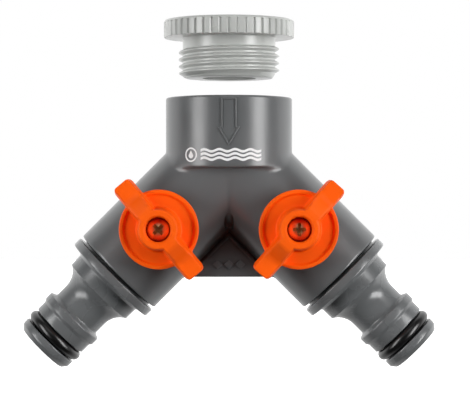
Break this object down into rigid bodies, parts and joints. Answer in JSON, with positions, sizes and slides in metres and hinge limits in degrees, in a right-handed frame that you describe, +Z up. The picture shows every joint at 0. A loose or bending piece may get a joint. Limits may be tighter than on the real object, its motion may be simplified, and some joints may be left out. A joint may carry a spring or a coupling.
{
  "type": "hose splitter",
  "caption": "Plastic Y-shaped garden hose splitter: threaded collar, loose thread reducer, two quick-connect nipples, each shut by its own quarter-turn ball valve.",
  "frame": {"origin": "centre of the collar's open mouth, on the collar's axis, in the plane of its rim", "axes": "+Z up out of the collar along its axis, +X towards the right leg seen from the knobs' side, -Y the side the knobs face"},
  "size_m": [0.1068, 0.0409, 0.0901],
  "materials": {
    "housing_abs": "moulded grey ABS, satin",
    "reducer_abs": "moulded light grey ABS, satin",
    "knob_abs": "moulded bright orange ABS, half gloss",
    "seal_rubber": "moulded black rubber",
    "seat_ptfe": "turned white PTFE",
    "valve_acetal": "moulded natural acetal",
    "screw_steel": "zinc-plated steel"
  },
  "bodies": {
    "housing": {"housing": "housing_abs", "collar_washer": "seal_rubber", "left_nipple": "housing_abs", "left_nipple_tip_ring": "seal_rubber", "left_spigot_ring": "seal_rubber", "left_upstream_seat": "seat_ptfe", "left_downstream_seat": "seat_ptfe", "right_nipple": "housing_abs", "right_nipple_tip_ring": "seal_rubber", "right_spigot_ring": "seal_rubber", "right_upstream_seat": "seat_ptfe", "right_downstream_seat": "seat_ptfe"},
    "left_valve": {"left_knob": "knob_abs", "left_knob_screw": "screw_steel", "left_valve_stem": "valve_acetal", "left_stem_ring": "seal_rubber", "left_valve_ball": "valve_acetal"},
    "right_valve": {"right_knob": "knob_abs", "right_knob_screw": "screw_steel", "right_valve_stem": "valve_acetal", "right_stem_ring": "seal_rubber", "right_valve_ball": "valve_acetal"},
    "reducer_carrier": {"reducer_washer": "seal_rubber"},
    "reducer": {"thread_reducer": "reducer_abs"}
  },
  "joints": [
    {"name": "left_valve_turn", "type": "hinge", "parent": "housing", "child": "left_valve", "pos_m": [-0.01768, 0, -0.03408], "axis": [0, -1, 0], "range_deg": [0, 95]},
    {"name": "right_valve_turn", "type": "hinge", "parent": "housing", "child": "right_valve", "pos_m": [0.01768, 0, -0.03408], "axis": [0, 1, 0], "range_deg": [0, 93.5]},
    {"name": "reducer_lift", "type": "slide", "parent": "housing", "child": "reducer_carrier", "axis": [0, 0, 1], "range_m": [-0.01533, 0]},
    {"name": "reducer_turn", "type": "hinge", "parent": "reducer_carrier", "child": "reducer", "pos_m": [0, 0, 0.0127], "axis": [0, 0, 1], "range_deg": [-3040, 0]}
  ],
  "couplings": [
    {"joint": "reducer_lift", "follows": "reducer_turn", "m_per_rad": 0.00028875}
  ]
}
